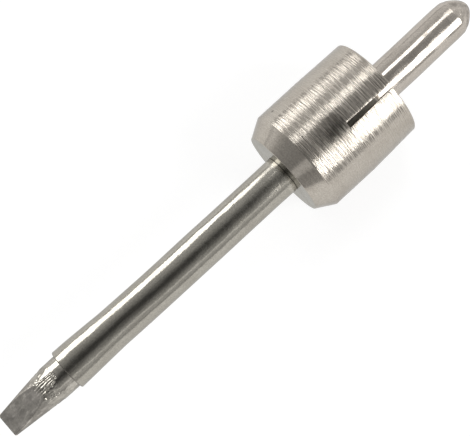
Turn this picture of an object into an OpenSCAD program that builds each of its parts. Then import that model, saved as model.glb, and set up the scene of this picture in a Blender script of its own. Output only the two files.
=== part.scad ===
// Self-heating soldering iron tip: a chisel bit in a thin heated tube, a turned collar with a
// slotted skirt at the tube's root, and a bullet-nosed contact pin on the same axis.
//
// The axis of the tip is X. The chisel points along +X, the contact pin along -X and the flats of
// the chisel face +Z and -Z. The origin is on the axis, in the plane of the collar's rear face.

/* [Chisel bit] */
// Length of the bit that stands out of the tube
bit_len = 7.6; // [6.8:0.1:12]
// Width of the working edge
edge_w = 2.5; // [1.6:0.1:3.2]
// Thickness of the working edge
edge_t = 0.6; // [0.3:0.05:1]
// Radius on the corners of the working edge
edge_corner_r = 0.15; // [0.05:0.05:0.25]
// Length over which the sides narrow down to the edge
side_taper_len = 5.9; // [4:0.1:6.5]
// Length of each flat, from the edge to where it runs out
flat_len = 6.5; // [4:0.1:6.7]

/* [Tube] */
// Outer diameter of the tube
tube_d = 4; // [3.8:0.05:4.8]
// Wall of the tube
tube_wall = 0.3; // [0.2:0.02:0.36]
// Length of tube in view, from its mouth to the collar
tube_len = 27.9; // [22:0.1:60]
// How far the mouth is swelled by the bit's spigot, on the radius
mouth_swell = 0.2; // [0.05:0.01:0.3]
// Length of the swelled stretch, which is the spigot's length
swell_len = 5.7; // [3:0.1:8]
// Bevel on the outer edge of the mouth
mouth_bevel = 0.1; // [0.05:0.01:0.18]

/* [Collar] */
// Outer diameter of the collar
collar_d = 11.3; // [10:0.1:16]
// Length of the collar
collar_len = 12.4; // [11:0.1:20]
// Length of the cone at the front of the collar
cone_len = 1.85; // [0.5:0.05:3]
// How far the cone comes down, on the radius
cone_drop = 1.08; // [0.3:0.02:2]
// Depth to which the tube is pressed into the collar
tube_seat = 2.6; // [1.5:0.1:3.5]
// Wall of the slotted skirt
skirt_wall = 1.05; // [0.6:0.05:1.4]
// Depth of the hollow inside the skirt
cavity_depth = 6; // [5.8:0.1:6.6]
// How far the skirt is squeezed in at its end, on the radius
skirt_squeeze = 0.15; // [0.05:0.01:0.3]
// Rounding on the skirt's outer rear edge
skirt_edge_r = 0.25; // [0.1:0.05:0.35]

/* [Slot] */
// Length of the slot in the skirt
slot_len = 5.6; // [3:0.1:5.7]
// Width of the slot at its closed end
slot_front_w = 0.65; // [0.3:0.05:1.5]
// Width of the slot at the skirt's end, where the skirt is squeezed in
slot_rear_w = 0.5; // [0.3:0.05:1.5]
// Angle of the slot round the axis, from the normal of the upper flat towards +Y
slot_angle = 20.5; // [0:0.5:90]

/* [Contact pin and bush] */
// Diameter of the contact pin
pin_d = 3.9; // [3.2:0.05:5]
// Straight length of the pin behind the collar
pin_len = 10.35; // [4:0.05:20]
// Length of the pin's rounded nose
nose_len = 1.9; // [1:0.1:3]
// Diameter of the pin's spigot inside the bush
pin_spigot_d = 2.4; // [1.8:0.1:2.8]
// Outer diameter of the insulating bush
bush_d = 6.6; // [5.6:0.1:7]
// How far the bush's rear face lies inside the skirt's end
bush_recess = 1.4; // [0.6:0.1:3]

/* [Heater] */
// Diameter of the ceramic core that the coil is wound on
core_d = 1.6; // [1.2:0.1:1.7]
// Depth to which the core is let into the bit and into the lead's cup
core_seat = 1.5; // [0.8:0.1:2.5]
// Length of the coil
coil_len = 12; // [6:0.5:14]
// Diameter of the resistance wire
wire_d = 0.3; // [0.2:0.02:0.34]
// Turns of the coil
coil_turns = 12; // [6:1:16]
// Diameter of the lead between the cup and the pin
lead_d = 1.2; // [0.8:0.1:1.3]
// Floor of the lead's cup
cup_floor = 0.6; // [0.3:0.1:1.5]
// Wall of the lead's cup
cup_wall = 0.3; // [0.2:0.02:0.34]
// Depth of the hole in the pin that takes the lead's end
lead_hole_depth = 3.2; // [2:0.1:5]

/* [Clearances] */
// Radial clearance where one piece is fitted in another
fit_gap = 0.02; // [0.01:0.01:0.04]
// Radial clearance between the coil and the core
coil_gap = 0.03; // [0.02:0.01:0.05]
// Clearance at the bottom of a blind hole
hole_end_gap = 0.2; // [0.1:0.05:0.4]

/* [Hidden] */
$fn = 96;

// Steps in a rounded edge, in the pin's nose, round the wire and along one turn of the coil
edge_steps = 6;
nose_steps = 14;
wire_sides = 6;
turn_steps = 16;
// How far a cutter runs past the face that it cuts
cut_over = 1;

// Stations along the axis
x_face = collar_len;
x_mouth = x_face + tube_len;
x_edge = x_mouth + bit_len;
x_spigot_end = x_mouth - swell_len;
x_tube_end = x_face - tube_seat;
x_coil_end = x_spigot_end - coil_len;
x_cup_end = x_coil_end - core_seat - cup_floor;
x_pin_front = x_tube_end - hole_end_gap;
x_nose = -pin_len;

// Radii
tube_r = tube_d / 2;
tube_bore_r = tube_r - tube_wall;
mouth_r = tube_r + mouth_swell;
mouth_bore_r = mouth_r - tube_wall;
shank_r = mouth_bore_r - fit_gap;
spigot_end_r = tube_bore_r - fit_gap;
collar_r = collar_d / 2;
rim_r = collar_r - cone_drop;
skirt_end_r = collar_r - skirt_squeeze;
cavity_r = collar_r - skirt_wall;
bush_r = bush_d / 2;
pin_r = pin_d / 2;
pin_spigot_r = pin_spigot_d / 2;
core_r = core_d / 2;
wire_r = wire_d / 2;
coil_r = core_r + coil_gap + wire_r;
lead_r = lead_d / 2;
cup_r = core_r + fit_gap + cup_wall;
sleeve_bore_r = max(coil_r + wire_r, cup_r) + coil_gap;
sleeve_r = tube_bore_r - fit_gap;

// A solid of revolution about X, from a profile of [x, radius] points
module turned(profile) {
    rotate([0, 90, 0])
        rotate_extrude()
            polygon([for (p = profile) [p[1], p[0]]]);
}

// A round bar or bore along X
module bar(r, x_low, x_high) {
    translate([x_low, 0, 0])
        rotate([0, 90, 0])
            cylinder(r = r, h = x_high - x_low);
}

// Points of a quarter round at an outer corner, from the end face to the side. The end face
// looks along X in the sense of side (+1 or -1).
function quarter_round(x, r, radius, side) = [
    for (i = [0 : edge_steps])
        let (a = 90 * i / edge_steps)
            [x - side * radius * (1 - cos(a)), r - radius * (1 - sin(a))]
];

// Points of the pin's paraboloid nose, from its root to its end
nose_profile = [
    for (i = [0 : nose_steps])
        let (r = pin_r * (1 - i / nose_steps))
            [x_nose - nose_len * (1 - pow(r / pin_r, 2)), r]
];

// What one flat of the chisel takes away, above the upper face
module flat_cutter() {
    slope = (shank_r - edge_t / 2) / flat_len;
    rotate([90, 0, 0])
        linear_extrude(2 * (shank_r + cut_over), center = true)
            polygon([
                [x_edge + cut_over, edge_t / 2 - slope * cut_over],
                [x_edge + cut_over, shank_r + cut_over],
                [x_edge - flat_len - cut_over, shank_r + cut_over],
                [x_edge - flat_len - cut_over, shank_r + slope * cut_over]
            ]);
}

// Working end, with its spigot in the tube's mouth and a blind hole for the ceramic core
module chisel_bit() {
    color([0.62, 0.61, 0.58])
        difference() {
            turned(concat(
                [[x_spigot_end, 0], [x_edge, 0]],
                quarter_round(x_edge, edge_w / 2, edge_corner_r, 1),
                [
                    [x_edge - side_taper_len, shank_r],
                    [x_mouth, shank_r],
                    [x_spigot_end, spigot_end_r]
                ]
            ));
            flat_cutter();
            mirror([0, 0, 1])
                flat_cutter();
            bar(core_r + fit_gap, x_spigot_end - cut_over, x_spigot_end + core_seat + hole_end_gap);
        }
}

// Thin tube, swelled over the bit's spigot at its mouth
module heater_tube() {
    color([0.72, 0.70, 0.67])
        turned([
            [x_tube_end, tube_bore_r],
            [x_spigot_end, tube_bore_r],
            [x_mouth, mouth_bore_r],
            [x_mouth, mouth_r - mouth_bevel],
            [x_mouth - 2 * mouth_bevel, mouth_r],
            [x_spigot_end, tube_r],
            [x_tube_end, tube_r]
        ]);
}

// The slot in the skirt, drawn along X and pointing up
module slot_cutter() {
    linear_extrude(collar_r + cut_over)
        polygon([
            [slot_len, -slot_front_w / 2],
            [slot_len, slot_front_w / 2],
            [0, slot_rear_w / 2],
            [-cut_over, slot_rear_w / 2],
            [-cut_over, -slot_rear_w / 2],
            [0, -slot_rear_w / 2]
        ]);
}

// Turned collar: cone, land, slotted skirt, bush bore and tube bore
module collar() {
    color([0.74, 0.72, 0.69])
        difference() {
            turned(concat(
                [[0, cavity_r]],
                quarter_round(0, skirt_end_r, skirt_edge_r, -1),
                [
                    [slot_len, collar_r],
                    [x_face - cone_len, collar_r],
                    [x_face, rim_r],
                    [x_face, tube_r + fit_gap],
                    [x_tube_end, tube_r + fit_gap],
                    [x_tube_end, bush_r + fit_gap],
                    [cavity_depth, bush_r + fit_gap],
                    [cavity_depth, cavity_r]
                ]
            ));
            rotate([-slot_angle, 0, 0])
                slot_cutter();
        }
}

// Dark bush that keeps the pin clear of the collar
module insulating_bush() {
    color([0.16, 0.15, 0.14])
        difference() {
            bar(bush_r, bush_recess, x_tube_end);
            bar(pin_spigot_r + fit_gap, bush_recess - cut_over, x_tube_end + cut_over);
        }
}

// Contact pin: paraboloid nose, body seated on the bush, spigot through the bush
module contact_pin() {
    color([0.78, 0.76, 0.73])
        difference() {
            turned(concat(
                [
                    [x_pin_front, 0],
                    [x_pin_front, pin_spigot_r],
                    [bush_recess, pin_spigot_r],
                    [bush_recess, pin_r]
                ],
                nose_profile
            ));
            bar(lead_r + fit_gap, x_pin_front - lead_hole_depth, x_pin_front + cut_over);
        }
}

// Ceramic rod under the coil, held by the bit at one end and by the lead's cup at the other
module ceramic_core() {
    color([0.93, 0.92, 0.88])
        bar(core_r, x_coil_end - core_seat, x_spigot_end + core_seat);
}

// A wire of round section along a helix about X
module helix_wire(radius, wire, x_low, x_high, turns) {
    rings = turns * turn_steps;
    pitch_angle = atan2(x_high - x_low, 2 * PI * radius * turns);
    points = [
        for (i = [0 : rings], j = [0 : wire_sides - 1])
            let (
                a = 360 * i / turn_steps,
                b = 360 * j / wire_sides,
                x = x_low + (x_high - x_low) * i / rings,
                out = radius + wire * cos(b),
                side = wire * sin(b)
            )
                [
                    x + side * cos(pitch_angle),
                    out * cos(a) + side * sin(pitch_angle) * sin(a),
                    out * sin(a) - side * sin(pitch_angle) * cos(a)
                ]
    ];
    walls = [
        for (i = [0 : rings - 1], j = [0 : wire_sides - 1])
            let (
                k = (j + 1) % wire_sides,
                here = i * wire_sides,
                next = here + wire_sides
            )
                [here + j, next + j, next + k, here + k]
    ];
    first_end = [for (j = [0 : wire_sides - 1]) j];
    last_end = [for (j = [wire_sides - 1 : -1 : 0]) rings * wire_sides + j];
    polyhedron(points, concat(walls, [first_end, last_end]));
}

// Resistance wire between the bit's spigot and the lead's cup
module heater_coil() {
    color([0.45, 0.40, 0.36])
        helix_wire(coil_r, wire_r, x_coil_end + wire_r + coil_gap, x_spigot_end - wire_r - coil_gap,
            coil_turns);
}

// Ceramic tube that keeps the coil and the lead clear of the heater tube
module ceramic_sleeve() {
    color([0.90, 0.88, 0.82])
        difference() {
            bar(sleeve_r, x_tube_end, x_spigot_end);
            bar(sleeve_bore_r, x_tube_end - cut_over, x_spigot_end + cut_over);
        }
}

// Lead from the coil to the contact pin, with a cup for the core's end
module centre_lead() {
    color([0.80, 0.55, 0.38])
        difference() {
            union() {
                bar(cup_r, x_cup_end, x_coil_end);
                bar(lead_r, x_pin_front - lead_hole_depth + hole_end_gap, x_cup_end + cup_floor / 2);
            }
            bar(core_r + fit_gap, x_cup_end + cup_floor, x_coil_end + cut_over);
        }
}

chisel_bit();
heater_tube();
collar();
insulating_bush();
contact_pin();
ceramic_core();
heater_coil();
ceramic_sleeve();
centre_lead();
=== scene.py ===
"""A self-heating soldering iron tip lying on a pale floor, dressed for its portrait.

Each piece that shows is turned on a lathe of its own: a ring of points drawn along the axis and
widened or narrowed at each station. The axis is X, the chisel points along +X and lengths are in
millimetres until a point is written to a mesh.
"""
import math
import random

import bmesh
import bpy
from mathutils import Matrix, Vector, noise


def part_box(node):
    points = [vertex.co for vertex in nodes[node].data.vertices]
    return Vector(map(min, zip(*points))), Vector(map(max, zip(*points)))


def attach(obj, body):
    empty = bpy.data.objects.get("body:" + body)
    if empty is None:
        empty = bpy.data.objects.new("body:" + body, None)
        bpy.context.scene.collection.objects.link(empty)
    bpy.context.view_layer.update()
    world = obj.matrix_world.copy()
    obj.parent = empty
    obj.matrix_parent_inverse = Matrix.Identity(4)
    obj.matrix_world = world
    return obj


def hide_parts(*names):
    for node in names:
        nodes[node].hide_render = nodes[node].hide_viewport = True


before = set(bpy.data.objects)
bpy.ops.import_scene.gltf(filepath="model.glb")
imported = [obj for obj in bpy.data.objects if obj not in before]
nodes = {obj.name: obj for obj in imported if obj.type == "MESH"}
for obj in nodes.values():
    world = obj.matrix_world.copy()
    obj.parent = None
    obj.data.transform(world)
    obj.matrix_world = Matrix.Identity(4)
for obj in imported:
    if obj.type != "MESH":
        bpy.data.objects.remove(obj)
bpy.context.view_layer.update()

MM = 0.001


# Sizes taken from the frame

def reach(node):
    """First and last X of a node and its greatest radius, in millimetres."""
    low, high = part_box(node)
    return low.x / MM, high.x / MM, max(high.z, -low.z) / MM


X_REAR, X_FACE, COLLAR_R = reach("collar")
X_TUBE_END, X_MOUTH, MOUTH_R = reach("heater_tube")
X_SPIGOT_END, X_EDGE, SHANK_R = reach("chisel_bit")
X_BUSH_REAR, X_BUSH_FRONT, BUSH_R = reach("insulating_bush")
X_NOSE_END, X_PIN_FRONT, PIN_R = reach("contact_pin")

# Clearance where one piece is fitted in another
FIT_GAP = 0.02

# The bit: its working edge, its tinned flats, the step behind them and the wrinkled land
EDGE_W = 2.5
EDGE_T = 0.6
EDGE_CORNER_R = 0.08
SIDE_TAPER_LEN = 5.9
TINNED_LEN = 4.15
FLAT_SLOPE = 0.231
FLAT_HOLLOW = 0.0116
STEP_LEN = 0.55
STEP_HEIGHT = 0.19
WRINKLED_LEN = 6.75
LAND_TILT = 0.05
RIDGE_PITCH = 0.27
RIDGE_DEPTH = 0.03

# Small beads of plating round the step: least and most of each size
BEAD_COUNT = 50
BEAD_R = (0.075, 0.115)
BEAD_HEIGHT = (0.02, 0.035)

# The tube
TUBE_R = 2.0
TUBE_WALL = 0.3
MOUTH_ROUND = 0.12
DARK_LIP_LEN = 0.09
TUBE_WAVE = 0.02
TUBE_OVAL = 0.02

# The collar: its cone, the tube's bore, the skirt and the slot, whose angle is in degrees
CONE_LEN = 1.85
CONE_DROP = 1.08
JOINT_CHAMFER = 0.05
SKIRT_WALL = 1.05
SKIRT_SQUEEZE = 0.15
SKIRT_CHAMFER = 0.5
CAVITY_DEPTH = 6.0
SLOT_LEN = 5.6
SLOT_FRONT_W = 0.65
SLOT_REAR_W = 0.48
SLOT_ANGLE = 20.5
SLOT_END_DENT = 0.06
MARKS_DEPTH = 0.0105
X_LAND = X_FACE - CONE_LEN
RIM_R = COLLAR_R - CONE_DROP
CAVITY_R = COLLAR_R - SKIRT_WALL
BUSH_BORE_R = BUSH_R + FIT_GAP

# Share of the squeeze that the skirt takes on the two sides of the slot
SQUEEZE_PAST_SLOT = 0.95
SQUEEZE_BEFORE_SLOT = -0.55

# Chipped edge of the slot: its usual width, its slow and quick changes, and its least width
CHIP_W = 0.035
CHIP_SWING = 0.28
CHIP_FRAY = 0.16
CHIP_LEAST = 0.015

# The pin, which rolls off a little before its nose
NOSE_LEN = 1.9
X_NOSE = X_NOSE_END + NOSE_LEN
PIN_ROLL_LEN = 1.0
PIN_ROLL_DROP = 0.04
PIN_SPIGOT_R = 1.2

# How far each piece bows, and where the bow of the tube's outside starts
BIT_BOW = 0.09
MOUTH_BOW = 0.13
MOUTH_BOW_START = 28.0
PIN_BOW = 0.08

# Columns of faces round each piece, and how many of the collar's the slot takes
BIT_COLUMNS = 400
TUBE_COLUMNS = 192
COLLAR_COLUMNS = 240
SLOT_COLUMNS = 4
BUSH_COLUMNS = 128
PIN_COLUMNS = 192
COLUMN_ANGLE = 360 / COLLAR_COLUMNS
HALF_SLOT = COLUMN_ANGLE * SLOT_COLUMNS / 2

# Greatest distance between two rings, on the finely shaped pieces and on the others
FINE_RINGS = 0.3
WIDE_RINGS = 0.4

# Where the portrait is taken from, in millimetres, degrees and pixels
CAMERA_ROLL = 12.5
CAMERA_OVER_X = 28.68
CAMERA_DISTANCE = 122.4
AIM_X = 18.74
AXIS_SLOPE = 42.516
FOCAL_PX = 1276.6
FRAME_PX = 470
SENSOR_MM = 36

# Distance of each lamp from the axis
LAMP_DISTANCE = 400

# Tone of the room by the angle from the lens
LENS_SHADE = [
    (0, 0.06), (9, 0.09), (24, 0.27), (37, 0.46), (50, 0.60), (64, 0.66), (79, 0.86), (110, 0.9)
]

# Tone of the dark card in front of the chisel by the angle from its middle, and the angle between
# its middle and the camera's side
CARD_SHADE = [(0, 0.31), (30, 0.38), (40, 0.43), (50, 0.62), (64, 1.0)]
CARD_TILT = 52

# Dark frames of the two big lamps: turn round the axis from the camera's side, and tone
LAMP_FRAMES = [
    (-114, 1.0), (-108, 0.68), (-99, 0.68), (-95, 1.0), (65, 1.0), (69, 0.68), (76, 0.68), (81, 1.0)
]

# The floor: its own grey, and the glow that shows it white to the camera
FLOOR_SIZE_M = 4
FLOOR_TONE = 0.34
FLOOR_GLOW = 0.76


# Modelling helpers

def select_only(obj):
    """Makes an object the only one selected, and the active one."""
    bpy.ops.object.select_all(action="DESELECT")
    obj.select_set(True)
    bpy.context.view_layer.objects.active = obj


def rounded(corners, steps=5):
    """The corners (x, r, radius) of a profile, each with a radius replaced by an arc."""
    points = []
    for i, (x, r, radius) in enumerate(corners):
        if radius == 0:
            points.append((x, r))
            continue
        here = Vector((x, r))
        back = (Vector(corners[i - 1][:2]) - here).normalized()
        ahead = (Vector(corners[(i + 1) % len(corners)][:2]) - here).normalized()
        half = back.angle(ahead) / 2
        centre = here + (back + ahead).normalized() * radius / math.sin(half)
        first = here + back * radius / math.tan(half) - centre
        last = here + ahead * radius / math.tan(half) - centre
        for k in range(steps + 1):
            arm = first.lerp(last, k / steps).normalized() * radius
            points.append(tuple(centre + arm))
    return points


def ringed(points, spacing):
    """The same profile with rings added so that none is further from the next than spacing."""
    rings = [points[0]]
    for (x0, r0), (x1, r1) in zip(points, points[1:]):
        count = max(1, math.ceil(math.hypot(x1 - x0, r1 - r0) / spacing))
        rings += [
            (x0 + (x1 - x0) * k / count, r0 + (r1 - r0) * k / count)
            for k in range(1, count + 1)
        ]
    return rings


def turn_on_lathe(name, rings, columns, start_angle=0.0, hollow=False):
    """A round piece about X, drawn ring by ring. A hollow one closes on its first ring."""
    bpy.ops.object.select_all(action="DESELECT")
    x, r = rings[0]
    bpy.ops.mesh.primitive_circle_add(
        vertices=columns, radius=r * MM, location=(x * MM, 0, 0), rotation=(0, math.pi / 2, 0)
    )
    obj = bpy.context.active_object
    obj.name = obj.data.name = name
    bpy.ops.object.transform_apply(location=True, rotation=True, scale=True)
    obj.data.transform(Matrix.Rotation(math.radians(start_angle), 4, "X"))
    bpy.ops.object.mode_set(mode="EDIT")
    bpy.ops.mesh.select_all(action="SELECT")
    for (x0, r0), (x1, r1) in zip(rings, rings[1:]):
        bpy.ops.mesh.extrude_region_move(
            TRANSFORM_OT_translate={"value": ((x1 - x0) * MM, 0, 0)}
        )
        bpy.ops.transform.resize(value=(1, r1 / r0, r1 / r0), center_override=(x1 * MM, 0, 0))
    if hollow:
        bpy.ops.mesh.select_all(action="SELECT")
        bpy.ops.mesh.remove_doubles(threshold=1e-7)
    else:
        close_end()
        first = rings[0][0] * MM
        pick(obj, lambda co: abs(co.x - first) < 1e-7)
        close_end()
    bpy.ops.mesh.select_all(action="SELECT")
    bpy.ops.mesh.normals_make_consistent(inside=False)
    bpy.ops.object.mode_set(mode="OBJECT")
    return obj


def close_end():
    """Draws the selected ring together to a point on the axis."""
    bpy.ops.mesh.extrude_region_move()
    bpy.ops.mesh.merge(type="CENTER")


def pick(obj, rule):
    """Selects, in edit mode, the points whose place meets the rule."""
    shape = bmesh.from_edit_mesh(obj.data)
    for v in shape.verts:
        v.select = rule(v.co)
    shape.select_flush_mode()
    bmesh.update_edit_mesh(obj.data)


def pick_open_edges(obj, rule):
    """Selects, in edit mode, the open edges whose middle, in millimetres, meets the rule."""
    shape = bmesh.from_edit_mesh(obj.data)
    for edge in shape.edges:
        middle = (edge.verts[0].co + edge.verts[1].co) / 2 / MM
        edge.select = edge.is_boundary and rule(middle)
    bmesh.update_edit_mesh(obj.data)


def add_rings(obj, low, high, least_r, cuts):
    """Cuts the lengthwise edges between two stations, outside a radius, into equal parts."""
    select_only(obj)
    bpy.ops.object.mode_set(mode="EDIT")
    bpy.ops.mesh.select_mode(type="EDGE")
    shape = bmesh.from_edit_mesh(obj.data)
    for edge in shape.edges:
        a, b = (v.co / MM for v in edge.verts)
        inside = min(a.x, b.x) > low - 1e-4 and max(a.x, b.x) < high + 1e-4
        outside = min(math.hypot(a.y, a.z), math.hypot(b.y, b.z)) > least_r
        edge.select = inside and outside and abs(a.x - b.x) > 1e-4
    shape.select_flush_mode()
    bmesh.update_edit_mesh(obj.data)
    bpy.ops.mesh.subdivide(number_cuts=cuts)
    bpy.ops.mesh.select_mode(type="VERT")
    bpy.ops.object.mode_set(mode="OBJECT")


def reshape(obj, rule):
    """Moves each point of a mesh to where the rule puts it, in millimetres."""
    for v in obj.data.vertices:
        v.co = rule(v.co / MM) * MM


def smooth(obj, angle=30):
    """Shades a piece smooth, but for the edges sharper than the angle."""
    select_only(obj)
    bpy.ops.object.shade_smooth_by_angle(angle=math.radians(angle))


def dress(obj, slot, node, *finishes):
    """Finishes a new piece: gives it its materials, sets it on the root body and hides the CAD node
    that it stands for.
    """
    obj.data.materials.clear()
    for finish in finishes:
        obj.data.materials.append(finish)
    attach(obj, "root")
    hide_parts(node)


def smoothstep(low, high, value):
    """0 up to low, 1 from high on, and a smooth rise between them."""
    t = min(1.0, max(0.0, (value - low) / (high - low)))
    return t * t * (3 - 2 * t)


def view_side(turn):
    """Unit vector across the axis, turned from the camera's side of it towards +Y."""
    a = math.radians(CAMERA_ROLL + turn)
    return Vector((0, math.sin(a), math.cos(a)))


# Node helpers

def put(tree, kind, **values):
    """Adds a node. A value goes to the property of that name, or else to the input."""
    node = tree.nodes.new(kind)
    for key, value in values.items():
        if hasattr(node, key):
            setattr(node, key, value)
        else:
            node.inputs[key.replace("_", " ")].default_value = value
    return node


def feed(tree, value, socket):
    """Links a socket to an input, or writes a plain number or colour to it."""
    if isinstance(value, bpy.types.NodeSocket):
        tree.links.new(value, socket)
    else:
        socket.default_value = value


def wired(shader, name):
    """The socket that feeds an input of the shader."""
    return shader.inputs[name].links[0].from_socket


def group_tree(name, inputs, outputs):
    """An empty node group with its sockets, and its two end nodes."""
    tree = bpy.data.node_groups.new(name, "ShaderNodeTree")
    for socket, kind, value in inputs:
        made = tree.interface.new_socket(name=socket, in_out="INPUT", socket_type=kind)
        made.default_value = value
    for socket, kind in outputs:
        tree.interface.new_socket(name=socket, in_out="OUTPUT", socket_type=kind)
    return tree, tree.nodes.new("NodeGroupInput"), tree.nodes.new("NodeGroupOutput")


def use_group(tree, group, **values):
    """Places a node group with its own values."""
    node = tree.nodes.new("ShaderNodeGroup")
    node.node_tree = group
    for key, value in values.items():
        node.inputs[key].default_value = value
    return node


def object_place(tree):
    """Place on the piece, in metres, as a socket."""
    return put(tree, "ShaderNodeTexCoord").outputs["Object"]


def axis_station(tree):
    """Place along the axis in millimetres, as a socket."""
    split = put(tree, "ShaderNodeSeparateXYZ")
    tree.links.new(object_place(tree), split.inputs[0])
    return math_node(tree, "DIVIDE", split.outputs["X"], MM)


def stretched_noise(tree, along, around, detail, seed):
    """Noise with that many waves to the millimetre along the axis and across it."""
    mapping = put(tree, "ShaderNodeMapping")
    mapping.inputs["Location"].default_value = (seed, seed * 1.7, seed * 2.3)
    mapping.inputs["Scale"].default_value = (along / MM, around / MM, around / MM)
    waves = put(tree, "ShaderNodeTexNoise", Detail=detail, Roughness=0.6)
    waves.inputs["Scale"].default_value = 1.0
    tree.links.new(object_place(tree), mapping.inputs["Vector"])
    tree.links.new(mapping.outputs["Vector"], waves.inputs["Vector"])
    return waves.outputs["Fac"]


def math_node(tree, operation, a, b=0.0):
    """A Math node on sockets or numbers."""
    node = put(tree, "ShaderNodeMath", operation=operation)
    feed(tree, a, node.inputs[0])
    feed(tree, b, node.inputs[1])
    return node.outputs[0]


def remap(tree, value, given, wanted):
    """Takes a value from one range to another and holds it at the ends."""
    node = put(tree, "ShaderNodeMapRange")
    ends = ("From Min", "From Max", "To Min", "To Max")
    for socket, number in zip(ends, (*given, *wanted)):
        node.inputs[socket].default_value = number
    tree.links.new(value, node.inputs["Value"])
    return node.outputs["Result"]


def mix_colors(tree, a, b, factor=1.0, blend_type="MIX"):
    """Mixes two colours. A Mix node takes them on sockets 6 and 7 and gives its colour on 2."""
    node = put(tree, "ShaderNodeMix", data_type="RGBA", blend_type=blend_type)
    feed(tree, factor, node.inputs["Factor"])
    feed(tree, a, node.inputs[6])
    feed(tree, b, node.inputs[7])
    return node.outputs[2]


def scale_color(tree, shader, factor):
    """Multiplies the colour that the shader has by a factor."""
    scaled = mix_colors(tree, wired(shader, "Base Color"), factor, blend_type="MULTIPLY")
    tree.links.new(scaled, shader.inputs["Base Color"])


def roughen(tree, shader, extra):
    """Adds to the roughness that the shader has."""
    total = math_node(tree, "ADD", wired(shader, "Roughness"), extra)
    tree.links.new(total, shader.inputs["Roughness"])


def add_bump(tree, shader, height, depth_mm):
    """Bump of that depth, in millimetres, laid over any bump that the shader has."""
    bump = put(tree, "ShaderNodeBump", Strength=1.0, Distance=depth_mm * MM)
    tree.links.new(height, bump.inputs["Height"])
    if shader.inputs["Normal"].is_linked:
        tree.links.new(wired(shader, "Normal"), bump.inputs["Normal"])
    tree.links.new(bump.outputs["Normal"], shader.inputs["Normal"])


# Effects that several finishes share

def two_noises_group(name, first, second):
    """A height made of two noises, each scaled by its own input. The inputs take their names
    and values from the pairs."""
    (first_name, first_share, first_noise), (second_name, second_share, second_noise) = first, second
    tree, given, result = group_tree(
        name,
        [(first_name, "NodeSocketFloat", first_share), (second_name, "NodeSocketFloat", second_share)],
        [("Height", "NodeSocketFloat")],
    )
    total = math_node(
        tree, "ADD",
        math_node(tree, "MULTIPLY", stretched_noise(tree, **first_noise), given.outputs[first_name]),
        math_node(tree, "MULTIPLY", stretched_noise(tree, **second_noise), given.outputs[second_name]),
    )
    tree.links.new(total, result.inputs["Height"])
    return tree


def lathe_marks_group():
    """Fine rings left by a cutting tool, which come and go round the piece."""
    return two_noises_group(
        "lathe_marks",
        ("Fine", 0.5, dict(along=12.0, around=0.5, detail=2.0, seed=3.1)),
        ("Coarse", 0.5, dict(along=1.7, around=0.12, detail=1.0, seed=7.7)),
    )


def polish_group():
    """Faint draw lines along a polished piece, with a soft orange-peel under them."""
    return two_noises_group(
        "polish",
        ("Lines", 0.3, dict(along=0.35, around=5.0, detail=2.0, seed=1.3)),
        ("Ripple", 0.7, dict(along=0.45, around=0.9, detail=1.0, seed=5.9)),
    )


def tarnish_group():
    """Plate colour that wanders between a clean and a dull tone, mottled and with small pits."""
    tree, given, result = group_tree(
        "tarnish",
        [
            ("Clean", "NodeSocketColor", (0.5, 0.5, 0.5, 1)),
            ("Dull", "NodeSocketColor", (0.4, 0.4, 0.4, 1)),
            ("Pits", "NodeSocketFloat", 0.5),
        ],
        [("Color", "NodeSocketColor"), ("Dullness", "NodeSocketFloat")],
    )
    patches = stretched_noise(tree, along=0.45, around=0.6, detail=3.0, seed=11.3)
    dullness = remap(tree, patches, (0.42, 0.68), (0.0, 1.0))
    plate = mix_colors(tree, given.outputs["Clean"], given.outputs["Dull"], factor=dullness)
    specks = stretched_noise(tree, along=3.2, around=3.2, detail=0.0, seed=23.9)
    dark_specks = remap(tree, specks, (0.80, 0.86), (0.0, 1.0))
    pits = math_node(tree, "MULTIPLY", dark_specks, given.outputs["Pits"])
    pitted = mix_colors(tree, plate, (0.05, 0.045, 0.04, 1), factor=pits)
    grain = stretched_noise(tree, along=6.0, around=6.0, detail=1.0, seed=40.1)
    mottle = remap(tree, grain, (0.3, 0.7), (0.9, 1.1))
    color = mix_colors(tree, pitted, mottle, blend_type="MULTIPLY")
    tree.links.new(color, result.inputs["Color"])
    tree.links.new(dullness, result.inputs["Dullness"])
    return tree


LATHE_MARKS = lathe_marks_group()
POLISH = polish_group()
TARNISH = tarnish_group()


# The finishes

def new_material(name, metallic):
    """A material with its node tree and its Principled shader."""
    material = bpy.data.materials.new(name)
    material.use_nodes = True
    tree = material.node_tree
    shader = tree.nodes["Principled BSDF"]
    shader.inputs["Metallic"].default_value = metallic
    return material, tree, shader


def plated(name, clean, dull, roughness, dull_roughness, pits=0.1, rim_tint=0.72):
    """Nickel plate: the colour and the roughness wander together."""
    material, tree, shader = new_material(name, 1.0)
    shader.inputs["Specular Tint"].default_value = (rim_tint, rim_tint, rim_tint, 1)
    tone = use_group(tree, TARNISH, Clean=(*clean, 1), Dull=(*dull, 1), Pits=pits)
    tree.links.new(tone.outputs["Color"], shader.inputs["Base Color"])
    rough = remap(tree, tone.outputs["Dullness"], (0.0, 1.0), (roughness, dull_roughness))
    tree.links.new(rough, shader.inputs["Roughness"])
    return material, tree, shader


def darken_spot(tree, shader, station, turn, reach_mm, tone, fray_mm):
    """Darkens the collar round a point on it, with a frayed edge."""
    angle = math.radians(turn)
    spot = Vector((station, COLLAR_R * math.sin(angle), COLLAR_R * math.cos(angle)))
    away = put(tree, "ShaderNodeVectorMath", operation="DISTANCE")
    away.inputs[1].default_value = spot * MM
    tree.links.new(object_place(tree), away.inputs[0])
    tatters = stretched_noise(tree, along=3.0, around=1.0, detail=2.0, seed=19.3)
    fray = remap(tree, tatters, (0.3, 0.7), (-fray_mm * MM, fray_mm * MM))
    distance = math_node(tree, "ADD", away.outputs["Value"], fray)
    shade = remap(tree, distance, (0.1 * reach_mm * MM, reach_mm * MM), (tone, 1.0))
    scale_color(tree, shader, shade)


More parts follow.
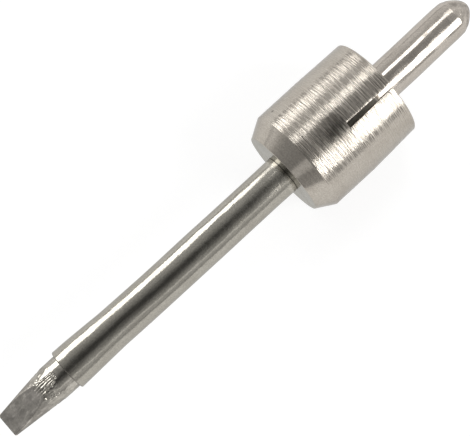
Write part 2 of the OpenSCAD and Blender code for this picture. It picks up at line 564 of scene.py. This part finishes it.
def turned_plate():
    """Plate over turning marks, darker round the front of the slot, and with one pit."""
    material, tree, shader = plated(
        "turned_plate", (0.46, 0.423, 0.372), (0.42, 0.383, 0.334), 0.15, 0.20
    )
    # Darker round the front of the slot
    darken_spot(
        tree, shader, station=SLOT_LEN + 1.1, turn=SLOT_ANGLE - 6, reach_mm=2.1, tone=0.3, fray_mm=0.6
    )
    darken_spot(
        tree, shader, station=SLOT_LEN + 3.85, turn=CAMERA_ROLL - 63.5, reach_mm=0.2, tone=0.3,
        fray_mm=0.02,
    )
    streaks = stretched_noise(tree, along=8.5, around=0.35, detail=1.0, seed=27.5)
    scale_color(tree, shader, remap(tree, streaks, (0.32, 0.68), (0.96, 1.04)))
    on_land = remap(tree, axis_station(tree), (X_LAND - 0.05, X_LAND + 0.05), (1.0, 0.15))
    torn = remap(tree, streaks, (0.40, 0.62), (-0.07, 0.13))
    roughen(tree, shader, math_node(tree, "MULTIPLY", torn, on_land))
    marks = use_group(tree, LATHE_MARKS, Fine=0.85, Coarse=0.15)
    height = math_node(tree, "MULTIPLY", marks.outputs["Height"], on_land)
    add_bump(tree, shader, height, depth_mm=0.035)
    return material


def faced_plate(name, clean, dull, roughness, rim_tint):
    """Plate on the faces that were cut across or sawn."""
    material, tree, shader = plated(
        name, clean, dull, roughness, roughness + 0.06, rim_tint=rim_tint
    )
    grain = stretched_noise(tree, along=4.0, around=4.0, detail=2.0, seed=6.2)
    add_bump(tree, shader, grain, depth_mm=0.01)
    return material


def polished_tube_plate():
    """Bright along the tube, duller towards the collar and darker on the cut lip of its mouth, with a
    dark line where it enters the collar, and painted light on the plate next to that which stands for
    light thrown back by the collar's face."""
    material, tree, shader = plated(
        "polished_tube_plate", (0.398, 0.378, 0.333), (0.358, 0.338, 0.295), 0.11, 0.19
    )
    station = axis_station(tree)
    x_lip = X_MOUTH - DARK_LIP_LEN
    # Darker along the lip of the mouth
    scale_color(tree, shader, remap(tree, station, (x_lip, x_lip + 0.01), (1.0, 0.6)))
    joint = remap(tree, station, (X_FACE + 0.04, X_FACE + 0.09), (0.38, 1.0))
    scale_color(tree, shader, joint)
    # Painted light on the tube next to the collar, standing for light that the collar's face throws
    # back onto it
    face_light_painted = remap(tree, station, (X_FACE + 0.2, X_FACE + 0.9), (1.45, 1.0))
    scale_color(tree, shader, face_light_painted)
    roughen(tree, shader, remap(tree, station, (X_FACE + 1.0, X_FACE + 5.0), (0.04, 0.0)))
    marks = use_group(tree, POLISH, Lines=0.12, Ripple=0.88)
    add_bump(tree, shader, marks.outputs["Height"], depth_mm=0.035)
    grain = stretched_noise(tree, along=2.4, around=3.0, detail=3.0, seed=63.9)
    add_bump(tree, shader, grain, depth_mm=0.011)
    return material


def polished_pin_plate():
    """Bright along the pin, streaked by wear, and duller, blotched and dented over the nose."""
    material, tree, shader = plated(
        "polished_pin_plate", (0.49, 0.449, 0.40), (0.45, 0.41, 0.362), 0.10, 0.15
    )
    on_nose = remap(tree, axis_station(tree), (X_NOSE - 0.4, X_NOSE + 0.1), (1.0, 0.0))
    roughen(tree, shader, math_node(tree, "MULTIPLY", on_nose, 0.16))
    rubs = stretched_noise(tree, along=0.3, around=1.6, detail=3.0, seed=31.7)
    roughen(tree, shader, remap(tree, rubs, (0.5, 0.66), (0.0, 0.2)))
    marks = use_group(tree, LATHE_MARKS, Fine=0.6, Coarse=0.4)
    add_bump(tree, shader, marks.outputs["Height"], depth_mm=0.006)
    polish = use_group(tree, POLISH, Lines=0.2, Ripple=0.8)
    add_bump(tree, shader, polish.outputs["Height"], depth_mm=0.028)
    blotches = stretched_noise(tree, along=1.3, around=1.3, detail=3.0, seed=12.4)
    shade = math_node(tree, "MULTIPLY", remap(tree, blotches, (0.38, 0.62), (-0.32, 0.1)), on_nose)
    scale_color(tree, shader, math_node(tree, "ADD", shade, 1.0))
    dents = math_node(tree, "SUBTRACT", blotches, 0.5)
    add_bump(tree, shader, math_node(tree, "MULTIPLY", dents, on_nose), depth_mm=0.2)
    return material


def tinned_share(tree):
    """1 where the working end is tinned and 0 behind, with a border that wanders."""
    border = stretched_noise(tree, along=1.2, around=2.0, detail=3.0, seed=14.2)
    wander = remap(tree, border, (0.3, 0.7), (-0.25, 0.25))
    station = math_node(tree, "ADD", axis_station(tree), wander)
    x_tinned = X_EDGE - TINNED_LEN - 0.3
    return remap(tree, station, (x_tinned - 0.12, x_tinned + 0.12), (0.0, 1.0))


def tin_over(tree, shader, tinned, clean, dull):
    """Lays matt tin over the plate wherever the share tinned says."""
    tin = use_group(tree, TARNISH, Clean=(*clean, 1), Dull=(*dull, 1), Pits=0.1)
    color = mix_colors(tree, wired(shader, "Base Color"), tin.outputs["Color"], factor=tinned)
    tree.links.new(color, shader.inputs["Base Color"])
    matt = remap(tree, tin.outputs["Dullness"], (0.0, 1.0), (0.34, 0.46))
    rough = put(tree, "ShaderNodeMix")
    tree.links.new(tinned, rough.inputs["Factor"])
    tree.links.new(wired(shader, "Roughness"), rough.inputs["A"])
    tree.links.new(matt, rough.inputs["B"])
    tree.links.new(rough.outputs["Result"], shader.inputs["Roughness"])


def bit_plate(name, tin_clean, tin_dull):
    """Bright round the shank and dull where the working end is tinned."""
    material, tree, shader = plated(
        name, (0.425, 0.402, 0.358), (0.385, 0.363, 0.32), 0.11, 0.17, rim_tint=0.54
    )
    tinned = tinned_share(tree)
    tin_over(tree, shader, tinned, tin_clean, tin_dull)
    clouds = stretched_noise(tree, along=0.9, around=1.1, detail=3.0, seed=51.2)
    scale_color(tree, shader, remap(tree, clouds, (0.35, 0.65), (0.78, 1.22)))
    scratches = stretched_noise(tree, along=0.9, around=2.4, detail=2.0, seed=77.7)
    scale_color(tree, shader, remap(tree, scratches, (0.57, 0.66), (1.0, 1.35)))
    polish = use_group(tree, POLISH, Lines=0.15, Ripple=0.85)
    add_bump(tree, shader, polish.outputs["Height"], depth_mm=0.022)
    grain = stretched_noise(tree, along=2.0, around=2.0, detail=3.0, seed=2.1)
    add_bump(tree, shader, math_node(tree, "MULTIPLY", grain, tinned), depth_mm=0.03)
    return material


def grained(name, shade, light, roughness, waves, detail, seed, depth_mm):
    """Moulded or fired stuff whose colour follows its grain."""
    material, tree, shader = new_material(name, 0.0)
    shader.inputs["Roughness"].default_value = roughness
    grain = stretched_noise(tree, along=waves, around=waves, detail=detail, seed=seed)
    ramp = put(tree, "ShaderNodeValToRGB")
    ramp.color_ramp.elements[0].color = (*shade, 1)
    ramp.color_ramp.elements[1].color = (*light, 1)
    tree.links.new(grain, ramp.inputs["Fac"])
    tree.links.new(ramp.outputs["Color"], shader.inputs["Base Color"])
    add_bump(tree, shader, grain, depth_mm)
    return material, tree, shader


def dark_moulding():
    """Dark moulded bush, its grey painted lighter than its own to stand for light in the slot, and
    with more painted light towards its open rear end.
    """
    material, tree, shader = grained(
        "dark_moulding", (0.31, 0.30, 0.27), (0.45, 0.435, 0.395),
        roughness=0.45, waves=3.0, detail=3.0, seed=4.4, depth_mm=0.01,
    )
    # Painted light that grows towards the bush's open rear end, where light enters the skirt
    painted_rear_light = remap(tree, axis_station(tree), (X_BUSH_REAR, X_BUSH_REAR + 2.5), (1.5, 1.0))
    scale_color(tree, shader, painted_rear_light)
    return material


def fired_ceramic(name, light, shade):
    """Unglazed ceramic."""
    material, tree, shader = grained(
        name, shade, light, roughness=0.75, waves=5.0, detail=4.0, seed=8.8, depth_mm=0.015
    )
    return material


def drawn_wire(name, clean, dull):
    """Bare drawn metal."""
    material, tree, shader = plated(name, clean, dull, 0.30, 0.45, pits=0.3)
    marks = use_group(tree, POLISH, Lines=0.8, Ripple=0.2)
    add_bump(tree, shader, marks.outputs["Height"], depth_mm=0.01)
    return material


# The chisel bit

def bowed(co, share, depth):
    """Moves a point by a share of the small bow that the part has, to the camera's upper left."""
    return co + view_side(-90) * depth * share


def tinned_height(from_edge):
    """Height over the axis of the tinned flat, which is slightly hollow."""
    return EDGE_T / 2 + FLAT_SLOPE * from_edge + FLAT_HOLLOW * from_edge ** 2


def flat_height(x, y):
    """Height of the pressed flat over the axis. It steps up to a shallow wrinkled land."""
    from_edge = X_EDGE - x
    if from_edge < TINNED_LEN:
        return tinned_height(from_edge)
    start = tinned_height(TINNED_LEN)
    rise = STEP_HEIGHT * smoothstep(TINNED_LEN, TINNED_LEN + STEP_LEN, from_edge)
    past_step = max(0.0, from_edge - TINNED_LEN - STEP_LEN)
    slope = (SHANK_R - start - STEP_HEIGHT) / (WRINKLED_LEN - TINNED_LEN - STEP_LEN)
    tilt = LAND_TILT * (y - 0.1) * smoothstep(0, 1, past_step)
    return start + rise + slope * past_step + tilt


def ridge_height(x, y):
    """Lengthwise ridges that close in on each other towards the shank, with a few breaks."""
    from_edge = X_EDGE - x
    fade = smoothstep(TINNED_LEN - 0.05, TINNED_LEN + 0.35, from_edge)
    fade *= 1 - smoothstep(WRINKLED_LEN - 0.4, WRINKLED_LEN + 0.1, from_edge)
    spread = 0.45 + 0.55 * (WRINKLED_LEN + 0.6 - from_edge) / (WRINKLED_LEN - TINNED_LEN)
    wander = 0.35 * noise.noise(Vector((x * 1.1, y * 1.5, 4.0)))
    ridges = math.sin(2 * math.pi * ((y + 0.1) / spread / RIDGE_PITCH + wander))
    breaks = noise.noise(Vector((x * 2.4, y * 3, 9.0)))
    return fade * (RIDGE_DEPTH * ridges * (0.9 + 0.9 * breaks) + 0.01 * breaks)


def press_flats(co):
    """Presses both flats, the lower one as the upper one turned half round the axis."""
    if X_EDGE - co.x > WRINKLED_LEN + 0.2:
        return co
    side = math.copysign(1, co.z)
    limit = flat_height(co.x, co.y * side)
    if abs(co.z) > limit:
        co.z = side * min(abs(co.z), limit + ridge_height(co.x, co.y * side))
    return co


def scatter_beads():
    """Places, radii and heights of small beads of plating round the step on one side."""
    chance = random.Random(11)
    beads = []
    for _ in range(BEAD_COUNT):
        from_edge = chance.triangular(TINNED_LEN - 0.3, WRINKLED_LEN + 0.9, TINNED_LEN + 0.9)
        turn = math.radians(chance.triangular(-60, 70, 24) + CAMERA_ROLL)
        place = Vector((X_EDGE - from_edge, SHANK_R * math.sin(turn), SHANK_R * math.cos(turn)))
        beads.append((place, chance.uniform(*BEAD_R), chance.uniform(*BEAD_HEIGHT)))
    return beads


def bead_height(here, radius_here, beads):
    """Height of the beads of plating at a point of the bit."""
    outward = Vector((0, here.y, here.z)).normalized()
    total = 0.0
    for place, radius, height in beads:
        if abs(place.x - here.x) > radius:
            continue
        place_turn = Vector((0, place.y, place.z)).normalized()
        off = math.hypot(place.x - here.x, (outward - place_turn).length * radius_here)
        if off < radius:
            total += height * (1 - (off / radius) ** 2)
    return total


def blister(co, beads):
    """Uneven plating and small beads round the step where the tinning stops."""
    from_edge = X_EDGE - co.x
    radius = co.yz.length
    zone = smoothstep(TINNED_LEN - 0.4, TINNED_LEN + 0.3, from_edge)
    zone *= 1 - smoothstep(WRINKLED_LEN - 1.2, WRINKLED_LEN + 0.5, from_edge)
    if zone == 0 or radius < 0.9:
        return co
    side = math.copysign(1, co.z)
    here = Vector((co.x, co.y * side, co.z * side))
    rough = 0.022 + 0.018 * smoothstep(-0.3, -0.9, here.y)
    lift = rough * zone * (noise.noise(co * 3.3) - 0.4) + bead_height(here, radius, beads)
    most = 0.0 if radius > SHANK_R - 0.01 else 0.03
    co.yz = co.yz * (1 + min(lift, most) / radius)
    return co


def bow_bit(co):
    """Bows the bit from its spigot on, and less at its edge."""
    share = smoothstep(X_SPIGOT_END, X_MOUTH, co.x)
    share *= 1 - 0.5 * smoothstep(X_EDGE - 4, X_EDGE, co.x)
    return bowed(co, share, BIT_BOW)


def make_chisel_bit(shank, flat):
    """Round shank that narrows to the edge, with a flat pressed on each side."""
    profile = rounded([
        (X_SPIGOT_END, TUBE_R - TUBE_WALL - FIT_GAP, 0),
        (X_MOUTH, SHANK_R, 0),
        (X_EDGE - SIDE_TAPER_LEN, SHANK_R, 3.0),
        (X_EDGE, EDGE_W / 2, EDGE_CORNER_R),
        (X_EDGE, 0.05, 0),
    ])
    bit = turn_on_lathe("chisel_bit_finished", ringed(profile, FINE_RINGS), BIT_COLUMNS)
    x_tinned = X_EDGE - TINNED_LEN
    add_rings(bit, X_EDGE - WRINKLED_LEN - 1, x_tinned + 0.6, least_r=1.0, cuts=6)
    add_rings(bit, x_tinned + 0.3, X_EDGE - 0.15, least_r=1.0, cuts=2)
    beads = scatter_beads()
    reshape(bit, press_flats)
    reshape(bit, lambda co: blister(co, beads))
    reshape(bit, bow_bit)
    smooth(bit, 28)
    dress(bit, "plated_bit", "chisel_bit", shank, flat)
    for face in bit.data.polygons:
        on_flat = abs(face.normal.z) > 0.9 and X_EDGE - face.center.x / MM < TINNED_LEN + 0.5
        face.material_index = 1 if on_flat else 0


# The tube

def waver(co):
    """Makes the drawn wall slightly wavy and oval, but not at its ends."""
    x_low = X_FACE + 0.3
    x_high = X_MOUTH - 0.5
    fade = smoothstep(x_low, x_low + 1.5, co.x) * (1 - smoothstep(x_high - 1, x_high, co.x))
    wave = noise.noise(Vector((co.x * 0.22, co.y * 0.45, co.z * 0.45)))
    turn = math.atan2(co.y, co.z) + 0.9 * math.sin(co.x * 0.21)
    lift = TUBE_WAVE * wave + TUBE_OVAL * math.cos(2 * turn)
    co.yz = co.yz * (1 + fade * lift / co.yz.length)
    return co


def bow_tube(co):
    """Bows the tube's outside towards its mouth, and its bore with the bit."""
    if co.yz.length > TUBE_R - 0.1:
        return bowed(co, smoothstep(MOUTH_BOW_START, X_MOUTH, co.x), MOUTH_BOW)
    return bowed(co, smoothstep(X_SPIGOT_END, X_MOUTH, co.x), BIT_BOW)


def make_heater_tube(finish):
    """Thin tube whose mouth is swelled over the bit's spigot."""
    bore = TUBE_R - TUBE_WALL
    profile = rounded([
        (X_TUBE_END, bore, 0),
        (X_SPIGOT_END, bore, 0),
        (X_MOUTH, MOUTH_R - TUBE_WALL, 0),
        (X_MOUTH, MOUTH_R, MOUTH_ROUND),
        (X_SPIGOT_END, TUBE_R, 8.0),
        (X_TUBE_END, TUBE_R, 0),
        (X_TUBE_END, bore, 0),
    ])
    rings = ringed(profile, FINE_RINGS)
    tube = turn_on_lathe("heater_tube_finished", rings, TUBE_COLUMNS, hollow=True)
    reshape(tube, waver)
    reshape(tube, bow_tube)
    smooth(tube)
    dress(tube, "polished_tube", "heater_tube", finish)


# The collar

def collar_profile():
    """Corners of the collar's section, from the tube's bore round the outside and back."""
    seat_r = TUBE_R + FIT_GAP
    return rounded([
        (X_FACE - JOINT_CHAMFER, seat_r, 0),
        (X_FACE, seat_r + JOINT_CHAMFER, 0),
        (X_FACE, RIM_R, 0.08),
        (X_LAND, COLLAR_R, 0.05),
        (SLOT_LEN, COLLAR_R, 0),
        (X_REAR, COLLAR_R - SKIRT_SQUEEZE, 0.1),
        (X_REAR, CAVITY_R + SKIRT_CHAMFER, 0),
        (X_REAR + SKIRT_CHAMFER, CAVITY_R, 0),
        (SLOT_LEN, CAVITY_R, 0),
        (CAVITY_DEPTH, CAVITY_R, 0),
        (CAVITY_DEPTH, BUSH_BORE_R, 0),
        (X_TUBE_END, BUSH_BORE_R, 0),
        (X_TUBE_END, seat_r, 0),
        (X_FACE - JOINT_CHAMFER, seat_r, 0),
    ])


def angle_from_slot(co):
    """Angle of a point round the axis from the middle of the slot, in degrees."""
    return math.degrees(math.atan2(co.y, co.z)) - SLOT_ANGLE


def set_radius(co, radius, turn):
    """Puts a point at a radius and an angle from the slot, at its own station."""
    a = math.radians(turn + SLOT_ANGLE)
    return Vector((co.x, radius * math.sin(a), radius * math.cos(a)))


def cut_slot(collar):
    """Takes the skirt's faces away over the slot's columns and walls the cut up."""
    select_only(collar)
    bpy.ops.object.mode_set(mode="EDIT")
    bpy.ops.mesh.select_mode(type="FACE")
    shape = bmesh.from_edit_mesh(collar.data)
    for face in shape.faces:
        co = face.calc_center_median() / MM
        in_skirt = co.x < SLOT_LEN and math.hypot(co.y, co.z) > BUSH_BORE_R + 0.1
        face.select = in_skirt and abs(angle_from_slot(co)) < HALF_SLOT
    bmesh.update_edit_mesh(collar.data)
    bpy.ops.mesh.delete(type="FACE")
    bpy.ops.mesh.select_mode(type="EDGE")
    for side in (-HALF_SLOT, HALF_SLOT):
        pick_open_edges(collar, lambda co: abs(angle_from_slot(co) - side) < 0.05)
        bpy.ops.mesh.edge_face_add()
    pick_open_edges(collar, lambda co: True)
    bpy.ops.mesh.fill_holes(sides=0)
    bpy.ops.mesh.select_mode(type="VERT")
    bpy.ops.mesh.select_all(action="SELECT")
    bpy.ops.mesh.normals_make_consistent(inside=False)
    bpy.ops.object.mode_set(mode="OBJECT")


def cut_by_tool(co):
    """Fine turning marks over the land and faintly over the cone."""
    radius = co.yz.length
    if radius < RIM_R - 0.02 or co.x < X_REAR + 0.25 or co.x > X_FACE - 0.1:
        return co
    if co.x < CAVITY_DEPTH and radius < COLLAR_R - SKIRT_SQUEEZE - 0.4:
        return co
    marks = noise.noise(Vector((co.x * 10.3, co.y * 0.35, co.z * 0.35)))
    depth = MARKS_DEPTH * max(0.0, 0.5 + marks) * (0.05 if co.x > X_LAND else 1.0)
    co.yz = co.yz * (1 - depth / radius)
    return co


def chip_width(x):
    """Width of the chipped edge along one side of the slot."""
    swing = noise.noise(Vector((x * 1.9, 1.5, 3.3)))
    fray = noise.noise(Vector((x * 6.0, 4.5, 8.1)))
    return max(CHIP_LEAST, CHIP_W + CHIP_SWING * swing + CHIP_FRAY * fray)


def settle_skirt(co):
    """Squeezes the skirt's two sides unevenly and gives the slot its width and chipped edge."""
    radius = co.yz.length
    if co.x > SLOT_LEN + 0.1 or radius < CAVITY_R - 0.1:
        return co
    turn = (angle_from_slot(co) + 180) % 360 - 180
    outer = radius > COLLAR_R - 0.3
    if co.x > SLOT_LEN - 0.01:
        dented = outer and abs(turn) < HALF_SLOT + 0.05
        dent = SLOT_END_DENT * (1 - (co.x - SLOT_LEN) / 0.1) if dented else 0.0
        return set_radius(co, radius - dent, turn)
    share = (SLOT_LEN - co.x) / (SLOT_LEN - X_REAR)
    squeeze = SQUEEZE_PAST_SLOT if turn > 0 else SQUEEZE_BEFORE_SLOT
    lean = math.cos(math.radians(turn / 2)) * squeeze
    new_radius = radius - SKIRT_SQUEEZE * share * lean
    half_width = (SLOT_FRONT_W + (SLOT_REAR_W - SLOT_FRONT_W) * share) / 2
    chip = chip_width(co.x)
    if abs(abs(turn) - HALF_SLOT) < 0.05:
        turn = math.copysign(math.degrees(half_width / radius), turn)
        if outer and turn < 0:
            new_radius -= 0.3 * chip
    elif outer and abs(turn + HALF_SLOT + COLUMN_ANGLE) < 0.05:
        turn = -math.degrees((half_width + chip) / radius)
    return set_radius(co, new_radius, turn)


def collar_finish(face):
    """Which finish a face of the collar has: 0 turned, 1 sawn or inside, 2 the front face."""
    middle = face.center / MM
    radius = math.hypot(middle.y, middle.z)
    if face.normal.x > 0.9 and middle.x > X_FACE - 0.02:
        return 2
    inside = middle.x < CAVITY_DEPTH + 0.01 and radius < CAVITY_R + SKIRT_CHAMFER
    outward = (face.normal.y * middle.y + face.normal.z * middle.z) / radius
    sawn = middle.x < SLOT_LEN + 0.01 and outward < 0.2 and abs(face.normal.x) < 0.3
    return 1 if inside or sawn else 0


def make_collar(turned, sawn, front):
    """Turned collar with a cone in front and a slotted skirt behind."""
    collar = turn_on_lathe(
        "collar_finished", ringed(collar_profile(), WIDE_RINGS), COLLAR_COLUMNS,
        start_angle=90 - SLOT_ANGLE - HALF_SLOT, hollow=True,
    )
    add_rings(collar, X_REAR + 0.15, X_LAND - 0.03, least_r=CAVITY_R + 0.3, cuts=9)
    add_rings(collar, X_LAND + 0.03, X_FACE - 0.03, least_r=RIM_R - 0.1, cuts=5)
    cut_slot(collar)
    reshape(collar, cut_by_tool)
    reshape(collar, settle_skirt)
    smooth(collar)
    dress(collar, "turned_collar", "collar", turned, sawn, front)
    for face in collar.data.polygons:
        face.material_index = collar_finish(face)


# The bush and the pin

def make_insulating_bush(finish):
    """Dark bush with a narrow chamfer round its rear end."""
    bore = PIN_SPIGOT_R + FIT_GAP
    profile = rounded([
        (X_BUSH_FRONT, bore, 0),
        (X_BUSH_FRONT, BUSH_R, 0.1),
        (X_BUSH_REAR, BUSH_R, 0.15),
        (X_BUSH_REAR, bore, 0),
        (X_BUSH_FRONT, bore, 0),
    ])
    rings = ringed(profile, WIDE_RINGS)
    bush = turn_on_lathe("insulating_bush_finished", rings, BUSH_COLUMNS, hollow=True)
    smooth(bush)
    dress(bush, "dark_bush", "insulating_bush", finish)


def nose_points(steps=24, first=4):
    """Profile of the bullet nose, from where the pin's roll-off meets it to short of its end."""
    return [
        (X_NOSE - NOSE_LEN * (1 - (1 - k / steps) ** 2), PIN_R * (1 - k / steps))
        for k in range(first, steps)
    ]


def make_contact_pin(finish):
    """Polished pin with a bullet nose and a spigot in the bush."""
    nose = nose_points()
    body = rounded([
        (X_PIN_FRONT, PIN_SPIGOT_R, 0),
        (X_BUSH_REAR, PIN_SPIGOT_R, 0),
        (X_BUSH_REAR, PIN_R, 0.05),
        (X_NOSE + PIN_ROLL_LEN, PIN_R, 6.0),
        (X_NOSE + 0.1, PIN_R - PIN_ROLL_DROP, 0.8),
        nose[0] + (0,),
    ])
    rings = ringed(body, FINE_RINGS) + nose[1:]
    pin = turn_on_lathe("contact_pin_finished", rings, PIN_COLUMNS)
    reshape(pin, lambda co: bowed(co, smoothstep(3, 9, -co.x), PIN_BOW))
    smooth(pin)
    dress(pin, "polished_pin", "contact_pin", finish)


# The studio

def place_camera():
    """Puts the camera over the axis, rolled so that the part runs across the picture."""
    eye = Vector((CAMERA_OVER_X, 0, 0)) + view_side(0) * CAMERA_DISTANCE
    back = (eye - Vector((AIM_X, 0, 0))).normalized()
    along = Vector((-1, 0, 0))
    along = (along - along.dot(back) * back).normalized()
    over = back.cross(along)
    slope = math.radians(AXIS_SLOPE)
    right = along * math.cos(slope) - over * math.sin(slope)
    up = along * math.sin(slope) + over * math.cos(slope)
    data = bpy.data.cameras.new("portrait_camera")
    data.sensor_width = SENSOR_MM
    data.lens = FOCAL_PX / FRAME_PX * SENSOR_MM
    data.clip_start = 0.005
    data.clip_end = 20
    camera = bpy.data.objects.new("portrait_camera", data)
    bpy.context.scene.collection.objects.link(camera)
    turned = Matrix((right, up, back)).transposed().to_4x4()
    camera.matrix_world = Matrix.Translation(eye * MM) @ turned
    bpy.context.scene.camera = camera


def softbox(name, turn, spread, low, high, strength, shape="ELLIPSE"):
    """A lamp beside the part. It is turned round the axis from the camera's side, is spread
    degrees wide and runs from low to high along -X, from below the camera."""
    side = view_side(turn)
    width = 2 * LAMP_DISTANCE * math.tan(math.radians(spread / 2))
    data = bpy.data.lights.new(name, "AREA")
    data.shape = shape
    data.size = (high - low) * MM
    data.size_y = width * MM
    area = data.size * data.size_y
    if shape == "ELLIPSE":
        area *= math.pi / 4
    data.energy = strength * math.pi * area
    lamp = bpy.data.objects.new(name, data)
    bpy.context.scene.collection.objects.link(lamp)
    middle = Vector((CAMERA_OVER_X - (low + high) / 2, 0, 0)) + side * LAMP_DISTANCE
    along = Vector((1, 0, 0))
    turned = Matrix((along, side.cross(along), side)).transposed().to_4x4()
    lamp.matrix_world = Matrix.Translation(middle * MM) @ turned


def facing(tree, direction):
    """Cosine of the angle between a direction and the one looked in from the part."""
    place = put(tree, "ShaderNodeTexCoord")
    dot = put(tree, "ShaderNodeVectorMath", operation="DOT_PRODUCT")
    dot.inputs[1].default_value = direction
    tree.links.new(place.outputs["Generated"], dot.inputs[0])
    return dot.outputs["Value"]


def tone_by_angle(tree, angle, tones):
    """Grey by an angle, from pairs of degrees and tone."""
    ramp = put(tree, "ShaderNodeValToRGB")
    stops = ramp.color_ramp.elements
    while len(stops) < len(tones):
        stops.new(0.5)
    for stop, (degrees, tone) in zip(stops, tones):
        stop.position = degrees / 180
        stop.color = (tone, tone, tone, 1)
    tree.links.new(math_node(tree, "DIVIDE", angle, math.pi), ramp.inputs["Fac"])
    return ramp.outputs["Color"]


def lens_tone(tree):
    """The room's tone, which darkens towards the lens, more widely across the part than along
    it."""
    x = facing(tree, (1, 0, 0))
    towards_edge = math_node(tree, "MULTIPLY", x, 0.5)
    towards_pin = math_node(tree, "MULTIPLY", x, 2.3)
    off = put(tree, "ShaderNodeCombineXYZ")
    tree.links.new(math_node(tree, "MINIMUM", towards_edge, towards_pin), off.inputs["X"])
    tree.links.new(facing(tree, view_side(90)), off.inputs["Y"])
    length = put(tree, "ShaderNodeVectorMath", operation="LENGTH")
    tree.links.new(off.outputs[0], length.inputs[0])
    from_lens = math_node(tree, "ARCTAN2", length.outputs["Value"], facing(tree, view_side(0)))
    return tone_by_angle(tree, from_lens, LENS_SHADE)


def card_tone(tree):
    """Tone of the dark card in front of the chisel."""
    tilt = math.radians(CARD_TILT)
    middle = Vector((math.sin(tilt), 0, 0)) + view_side(0) * math.cos(tilt)
    from_card = math_node(tree, "ARCCOSINE", facing(tree, middle))
    return tone_by_angle(tree, from_card, CARD_SHADE)


def frame_tone(tree):
    """Tone of the lamps' frames. The ramp holds half of each turn, from 0 to 180 degrees."""
    turn = math_node(tree, "ARCTAN2", facing(tree, view_side(90)), facing(tree, view_side(0)))
    half_turn = math_node(tree, "ADD", math_node(tree, "DIVIDE", turn, 2.0), math.pi / 2)
    return tone_by_angle(tree, half_turn, [(90 + at / 2, tone) for at, tone in LAMP_FRAMES])


def light_room():
    """A pale room round the part, with a dark lens, a dark card and the lamps' dark frames."""
    world = bpy.data.worlds.new("pale_room")
    bpy.context.scene.world = world
    world.use_nodes = True
    tree = world.node_tree
    room = mix_colors(tree, lens_tone(tree), card_tone(tree), blend_type="DARKEN")
    framed = mix_colors(tree, room, frame_tone(tree), blend_type="MULTIPLY")
    tree.links.new(framed, tree.nodes["Background"].inputs["Color"])


def lay_floor():
    """Pale floor that shows white where nothing shades it."""
    bpy.ops.object.select_all(action="DESELECT")
    bpy.ops.mesh.primitive_plane_add(size=FLOOR_SIZE_M, location=(0, 0, -COLLAR_R * MM))
    floor = bpy.context.active_object
    floor.name = "floor"
    material, tree, shader = new_material("pale_floor", 0.0)
    shader.inputs["Base Color"].default_value = (FLOOR_TONE, FLOOR_TONE, FLOOR_TONE, 1)
    shader.inputs["Roughness"].default_value = 0.9
    shader.inputs["Specular IOR Level"].default_value = 0.0
    shader.inputs["Emission Color"].default_value = (1, 1, 1, 1)
    seen = put(tree, "ShaderNodeLightPath")
    shown = math_node(tree, "MAXIMUM", seen.outputs["Is Camera Ray"], seen.outputs["Is Glossy Ray"])
    shown = math_node(tree, "MAXIMUM", shown, seen.outputs["Is Transmission Ray"])
    glow = math_node(tree, "MULTIPLY", shown, FLOOR_GLOW)
    tree.links.new(glow, shader.inputs["Emission Strength"])
    floor.data.materials.append(material)


place_camera()
light_room()
lay_floor()
softbox("front_softbox", turn=-78, spread=32, low=-170, high=74, strength=3.1)
softbox("strip_softbox", turn=-35, spread=17, low=104, high=168, strength=3.7)
softbox("end_softbox", turn=-38, spread=26, low=188, high=330, strength=3.0)
softbox("broad_softbox", turn=43, spread=42, low=101, high=345, strength=5.2)
softbox("thin_strip", turn=49, spread=8, low=-150, high=74, strength=0.35, shape="RECTANGLE")
softbox(
    "chisel_side_panel", turn=24, spread=27, low=-640, high=-386, strength=0.35, shape="RECTANGLE"
)

# On the tinned sides of the bit the tin is darker than the same tin on the flats: painted shade that
# dims the sides' highlight
make_chisel_bit(
    shank=bit_plate("bit_plate", (0.36, 0.338, 0.305), (0.30, 0.282, 0.252)),
    flat=bit_plate("tinned_flat_plate", (0.49, 0.46, 0.42), (0.40, 0.38, 0.34)),
)
make_heater_tube(polished_tube_plate())
make_collar(
    turned=turned_plate(),
    # The sawn plate on the slot's walls and inside the skirt is lighter than the turned plate: painted
    # light inside the slot; its greater roughness is the sawn finish
    sawn=faced_plate("sawn_plate", (0.54, 0.50, 0.44), (0.50, 0.46, 0.40), 0.42, 0.6),
    front=faced_plate("front_plate", (0.51, 0.485, 0.41), (0.48, 0.455, 0.38), 0.19, 0.6),
)
make_insulating_bush(dark_moulding())
make_contact_pin(polished_pin_plate())

INNER_FINISHES = {
    "ceramic_core": fired_ceramic("core_ceramic", (0.88, 0.86, 0.81), (0.78, 0.75, 0.69)),
    "ceramic_sleeve": fired_ceramic("sleeve_ceramic", (0.84, 0.81, 0.74), (0.74, 0.70, 0.62)),
    "heater_coil": drawn_wire("resistance_wire", (0.36, 0.32, 0.28), (0.22, 0.19, 0.17)),
    "centre_lead": drawn_wire("lead_metal", (0.72, 0.47, 0.31), (0.55, 0.34, 0.22)),
}
for node_name, finish in INNER_FINISHES.items():
    nodes[node_name].data.materials[0] = finish

bpy.context.scene.view_settings.view_transform = "Standard"
